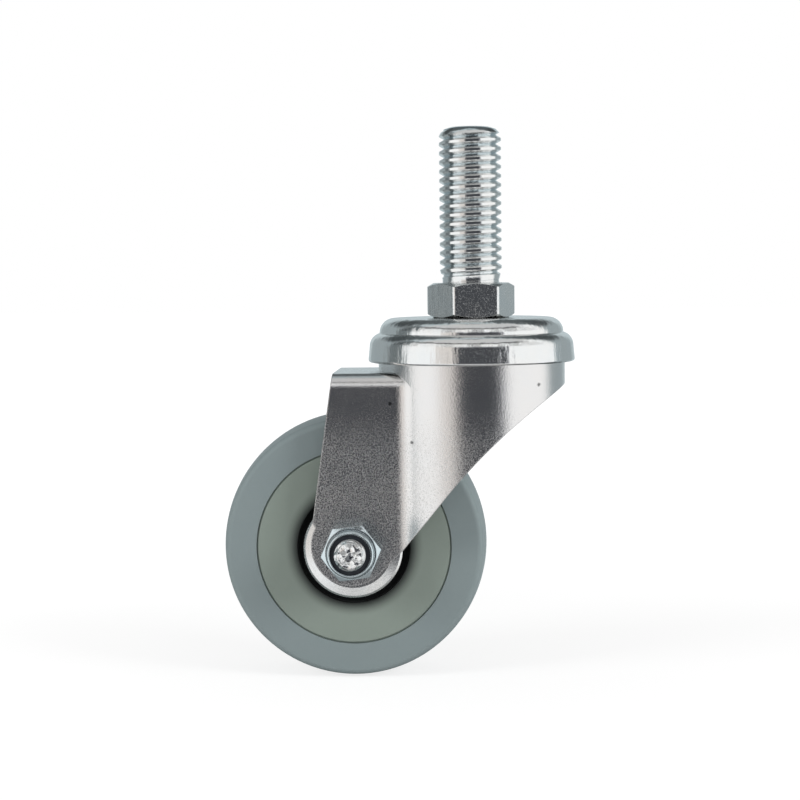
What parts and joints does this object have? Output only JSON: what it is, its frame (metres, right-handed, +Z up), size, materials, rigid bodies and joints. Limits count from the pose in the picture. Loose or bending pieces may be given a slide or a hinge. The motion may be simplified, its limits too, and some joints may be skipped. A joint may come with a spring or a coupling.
{
  "type": "swivel castor",
  "caption": "Swivel castor with a threaded stem and hexagon, a pressed cap over a double ball race, a bent steel fork and a grey wheel on ball bearings.",
  "frame": {"origin": "on the swivel axis, in the top face of the hexagon that seats under the furniture leg", "axes": "+Z up along the threaded stem, -X the way the wheel trails at rest, Y along the wheel's axle"},
  "size_m": [0.0684, 0.0407, 0.1059],
  "materials": {
    "bright_zinc": "bright zinc plating",
    "satin_zinc": "satin zinc plating with a fine grain",
    "bearing_steel": "ground",
    "tread_rubber": "smooth matt",
    "core_plastic": "moulded satin",
    "dark_nylon": "smooth"
  },
  "bodies": {
    "head": {"threaded_stem": "bright_zinc", "top_cap": "bright_zinc", "lower_race": "bright_zinc"},
    "fork_assembly": {"fork": "satin_zinc", "axle_bolt": "bright_zinc", "lock_nut": "bright_zinc", "nut_insert": "dark_nylon", "axle_sleeve": "bearing_steel", "bearing_cone_left": "bearing_steel", "bearing_cone_right": "bearing_steel", "dust_cover_left": "bright_zinc", "dust_cover_right": "bright_zinc"},
    "wheel": {"tread": "tread_rubber", "wheel_core": "core_plastic", "bearing_cup_left": "bearing_steel", "bearing_cup_right": "bearing_steel"},
    "upper_ball_ring": {"upper_balls": "bearing_steel"},
    "lower_ball_ring": {"lower_balls": "bearing_steel"},
    "left_ball_ring": {"hub_balls_left": "bearing_steel"},
    "right_ball_ring": {"hub_balls_right": "bearing_steel"}
  },
  "joints": [
    {"name": "swivel", "type": "hinge", "parent": "head", "child": "fork_assembly", "pos_m": [0, 0, 0], "axis": [0, 0, 1], "continuous": true},
    {"name": "wheel_spin", "type": "hinge", "parent": "fork_assembly", "child": "wheel", "pos_m": [-0.0228, 0, -0.0504], "axis": [0, 1, 0], "continuous": true},
    {"name": "upper_ball_roll", "type": "hinge", "parent": "head", "child": "upper_ball_ring", "pos_m": [0, 0, 0], "axis": [0, 0, 1], "continuous": true},
    {"name": "lower_ball_roll", "type": "hinge", "parent": "head", "child": "lower_ball_ring", "pos_m": [0, 0, 0], "axis": [0, 0, 1], "continuous": true},
    {"name": "left_ball_roll", "type": "hinge", "parent": "fork_assembly", "child": "left_ball_ring", "pos_m": [-0.0228, 0, -0.0504], "axis": [0, 1, 0], "continuous": true},
    {"name": "right_ball_roll", "type": "hinge", "parent": "fork_assembly", "child": "right_ball_ring", "pos_m": [-0.0228, 0, -0.0504], "axis": [0, 1, 0], "continuous": true}
  ],
  "couplings": [
    {"joint": "upper_ball_roll", "follows": "swivel", "ratio": 0.5},
    {"joint": "lower_ball_roll", "follows": "swivel", "ratio": 0.5},
    {"joint": "left_ball_roll", "follows": "wheel_spin", "ratio": 0.628},
    {"joint": "right_ball_roll", "follows": "wheel_spin", "ratio": 0.628}
  ]
}
